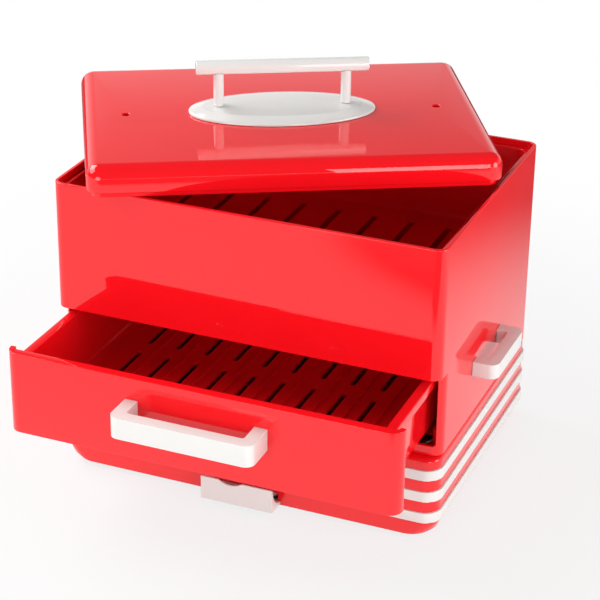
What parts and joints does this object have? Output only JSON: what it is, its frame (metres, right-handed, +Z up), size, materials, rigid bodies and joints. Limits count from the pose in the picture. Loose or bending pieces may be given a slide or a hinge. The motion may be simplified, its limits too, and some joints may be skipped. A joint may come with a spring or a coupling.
{
  "type": "hot dog maker",
  "caption": "Red tabletop hot dog steamer with white trim: pull-out drawer for the sausages, bun tray under a lid lying askew, water pan in a banded base",
  "frame": {"origin": "bottom centre of the whole object's bounding box, on the surface it stands on", "axes": "X to the right seen from the front, Y to the back (the drawer opens towards -Y), Z up"},
  "size_m": [0.4294, 0.4684, 0.336],
  "materials": {
    "red_gloss_plastic": "glossy moulded",
    "red_inner_plastic": "semi-gloss moulded",
    "white_gloss_plastic": "glossy moulded",
    "black_plastic": "fine matt moulded",
    "black_rubber": "matt",
    "stainless_steel": "drawn sheet, satin",
    "screw_steel": "zinc plated",
    "amber_lens": "clear tinted",
    "lead_insulation": "matt sleeve"
  },
  "bodies": {
    "body": {"band_lower": "white_gloss_plastic", "band_middle": "white_gloss_plastic", "band_upper": "white_gloss_plastic", "base_cover": "black_plastic", "base_housing": "red_gloss_plastic", "body_housing": "red_gloss_plastic", "cord_grommet": "black_rubber", "cover_screw_front_left": "screw_steel", "cover_screw_front_right": "screw_steel", "cover_screw_rear_left": "screw_steel", "cover_screw_rear_right": "screw_steel", "drawer_rail_left": "red_inner_plastic", "drawer_rail_right": "red_inner_plastic", "foot_front_left": "black_rubber", "foot_front_right": "black_rubber", "foot_rear_left": "black_rubber", "foot_rear_right": "black_rubber", "heating_element": "stainless_steel", "housing_screw_front_left": "screw_steel", "housing_screw_front_right": "screw_steel", "housing_screw_rear_left": "screw_steel", "housing_screw_rear_right": "screw_steel", "panel_screw_left": "screw_steel", "panel_screw_right": "screw_steel", "pilot_lamp": "amber_lens", "service_panel": "red_gloss_plastic", "side_handle_left": "white_gloss_plastic", "side_handle_right": "white_gloss_plastic", "side_handle_screw_front_left": "screw_steel", "side_handle_screw_front_right": "screw_steel", "side_handle_screw_rear_left": "screw_steel", "side_handle_screw_rear_right": "screw_steel", "switch_bezel": "black_plastic", "switch_lead_inner": "lead_insulation", "switch_lead_outer": "lead_insulation", "terminal_block": "black_plastic", "thermostat": "stainless_steel", "water_pan": "stainless_steel"},
    "drawer": {"drawer": "red_gloss_plastic", "drawer_handle": "white_gloss_plastic", "drawer_handle_screw_left": "screw_steel", "drawer_handle_screw_right": "screw_steel"},
    "drip_tray": {"drip_tray": "white_gloss_plastic"},
    "bun_tray": {"bun_tray": "red_inner_plastic"},
    "lid": {"lid_bar": "white_gloss_plastic", "lid_plate": "white_gloss_plastic", "lid_post_left": "white_gloss_plastic", "lid_post_right": "white_gloss_plastic", "lid_screw_left": "screw_steel", "lid_screw_right": "screw_steel", "lid_shell": "red_gloss_plastic"},
    "rocker": {"switch_rocker": "black_plastic"}
  },
  "joints": [
    {"name": "drawer_slide", "type": "slide", "parent": "body", "child": "drawer", "axis": [0, -1, 0], "range_m": [-0.088, 0.072]},
    {"name": "drip_tray_slide", "type": "slide", "parent": "body", "child": "drip_tray", "axis": [0, -1, 0], "range_m": [0, 0.11]},
    {"name": "bun_tray_lift", "type": "slide", "parent": "body", "child": "bun_tray", "axis": [0, 0, 1], "range_m": [0, 0.09]},
    {"name": "lid_lift", "type": "slide", "parent": "bun_tray", "child": "lid", "axis": [0, 0, 1], "range_m": [0, 0.12]},
    {"name": "switch_rock", "type": "hinge", "parent": "body", "child": "rocker", "pos_m": [-0.00784, 0.1365, 0.0395], "axis": [1, 0, 0], "range_deg": [0, 20]}
  ]
}
